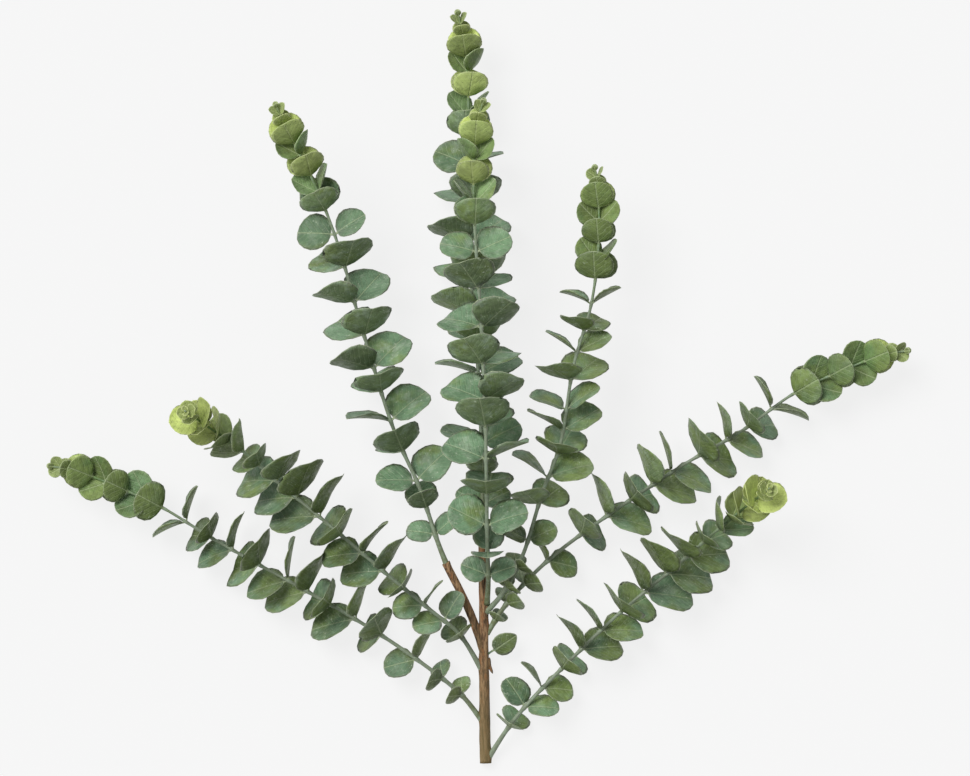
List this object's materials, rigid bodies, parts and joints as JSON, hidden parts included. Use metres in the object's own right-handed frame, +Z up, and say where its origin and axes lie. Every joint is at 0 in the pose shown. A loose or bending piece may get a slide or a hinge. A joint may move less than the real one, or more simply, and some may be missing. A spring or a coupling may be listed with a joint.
{
  "type": "eucalyptus leaf spray",
  "caption": "Cut branched spray with round cupped leaves in opposite pairs on long green stems with pale tips, on a short brown trunk, lying flat for decoration.",
  "frame": {"origin": "middle of the spray's outline on the table, at the height of the table top", "axes": "+X to the right across the spray, +Y from the trunk's cut end to the top stem's tip, +Z up from the table"},
  "size_m": [0.6895, 0.6018, 0.1148],
  "materials": {
    "bark": "matt brown bark",
    "leaf": "satin grey-green leaf",
    "young_leaf": "satin pale yellow-green leaf"
  },
  "bodies": {
    "root": {"trunk": "bark", "trunk_leaf": "leaf", "leafy_stem_centre_back": "leaf", "young_tip_centre_back": "young_leaf", "leafy_stem_centre_front": "leaf", "young_tip_centre_front": "young_leaf", "leafy_stem_upper_left": "leaf", "young_tip_upper_left": "young_leaf", "leafy_stem_upper_right": "leaf", "young_tip_upper_right": "young_leaf", "leafy_stem_mid_right": "leaf", "young_tip_mid_right": "young_leaf", "leafy_stem_lower_right": "leaf", "young_tip_lower_right": "young_leaf", "leafy_stem_mid_left": "leaf", "young_tip_mid_left": "young_leaf", "leafy_stem_lower_left": "leaf", "young_tip_lower_left": "young_leaf"}
  },
  "joints": []
}
